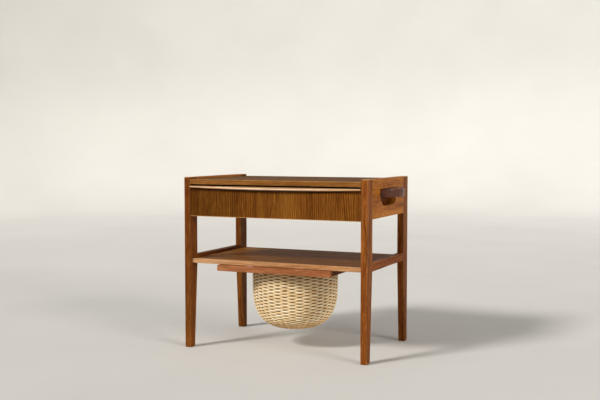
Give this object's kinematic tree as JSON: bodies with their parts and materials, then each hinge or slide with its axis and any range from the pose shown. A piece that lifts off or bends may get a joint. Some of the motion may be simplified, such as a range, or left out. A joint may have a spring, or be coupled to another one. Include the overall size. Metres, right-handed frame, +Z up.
{
  "type": "sewing table with drawer and pull-out basket",
  "caption": "Teak sewing table with tapered legs, a drawer with a sliding thread tray, an open shelf and a round wicker basket on a pull-out slide.",
  "frame": {"origin": "middle of the table's outline on the floor", "axes": "+X to the right as seen from the drawer side, +Y to the back, +Z up"},
  "size_m": [0.692, 0.3912, 0.53],
  "materials": {
    "teak": "oiled solid teak, satin",
    "teak_veneer": "oiled teak veneer, satin",
    "dark_teak": "dark solid wood grip, satin, worn smooth",
    "birch": "plain unfinished birch",
    "cane": "woven peeled cane, matt",
    "screw_steel": "plain steel screw heads"
  },
  "bodies": {
    "table": {"leg_front_left": "teak", "leg_front_right": "teak", "leg_rear_left": "teak", "leg_rear_right": "teak", "side_panel_left": "teak", "side_panel_right": "teak", "side_rail_left": "teak", "side_rail_right": "teak", "side_grip_left": "dark_teak", "side_grip_right": "dark_teak", "top_panel": "teak_veneer", "top_lipping_front": "teak", "top_lipping_rear": "teak", "back_panel": "teak_veneer", "shelf_panel": "teak_veneer", "shelf_lipping_front": "teak", "shelf_lipping_rear": "teak", "drawer_runner_left": "birch", "drawer_runner_right": "birch", "slide_runner_left": "teak", "slide_runner_right": "teak", "top_dowel_front_left": "birch", "top_dowel_front_right": "birch", "top_dowel_rear_left": "birch", "top_dowel_rear_right": "birch", "shelf_dowel_front_left": "birch", "shelf_dowel_front_right": "birch", "shelf_dowel_rear_left": "birch", "shelf_dowel_rear_right": "birch", "runner_screw_left_1": "screw_steel", "runner_screw_left_2": "screw_steel", "runner_screw_right_1": "screw_steel", "runner_screw_right_2": "screw_steel", "slide_screw_left_1": "screw_steel", "slide_screw_left_2": "screw_steel", "slide_screw_right_1": "screw_steel", "slide_screw_right_2": "screw_steel"},
    "drawer": {"drawer_front": "teak_veneer", "drawer_lip": "teak", "drawer_side_left": "teak", "drawer_side_right": "teak", "drawer_back": "birch", "drawer_bottom": "birch", "tray_ledge_front": "birch", "tray_ledge_rear": "birch", "drawer_divider_left": "birch", "drawer_divider_right": "birch"},
    "thread_tray": {"tray_bottom": "birch", "tray_wall_front": "birch", "tray_wall_rear": "birch", "tray_end_left": "birch", "tray_end_right": "birch", "tray_divider": "birch"},
    "basket_slide": {"slide_front_bar": "teak", "slide_arm_left": "teak", "slide_arm_right": "teak", "slide_cross_front": "teak", "slide_cross_rear": "teak", "basket": "cane"}
  },
  "joints": [
    {"name": "drawer_slide", "type": "slide", "parent": "table", "child": "drawer", "axis": [0, -1, 0], "range_m": [0, 0.26]},
    {"name": "thread_tray_slide", "type": "slide", "parent": "drawer", "child": "thread_tray", "axis": [1, 0, 0], "range_m": [0, 0.29]},
    {"name": "basket_slide", "type": "slide", "parent": "table", "child": "basket_slide", "axis": [0, -1, 0], "range_m": [0, 0.28]}
  ]
}
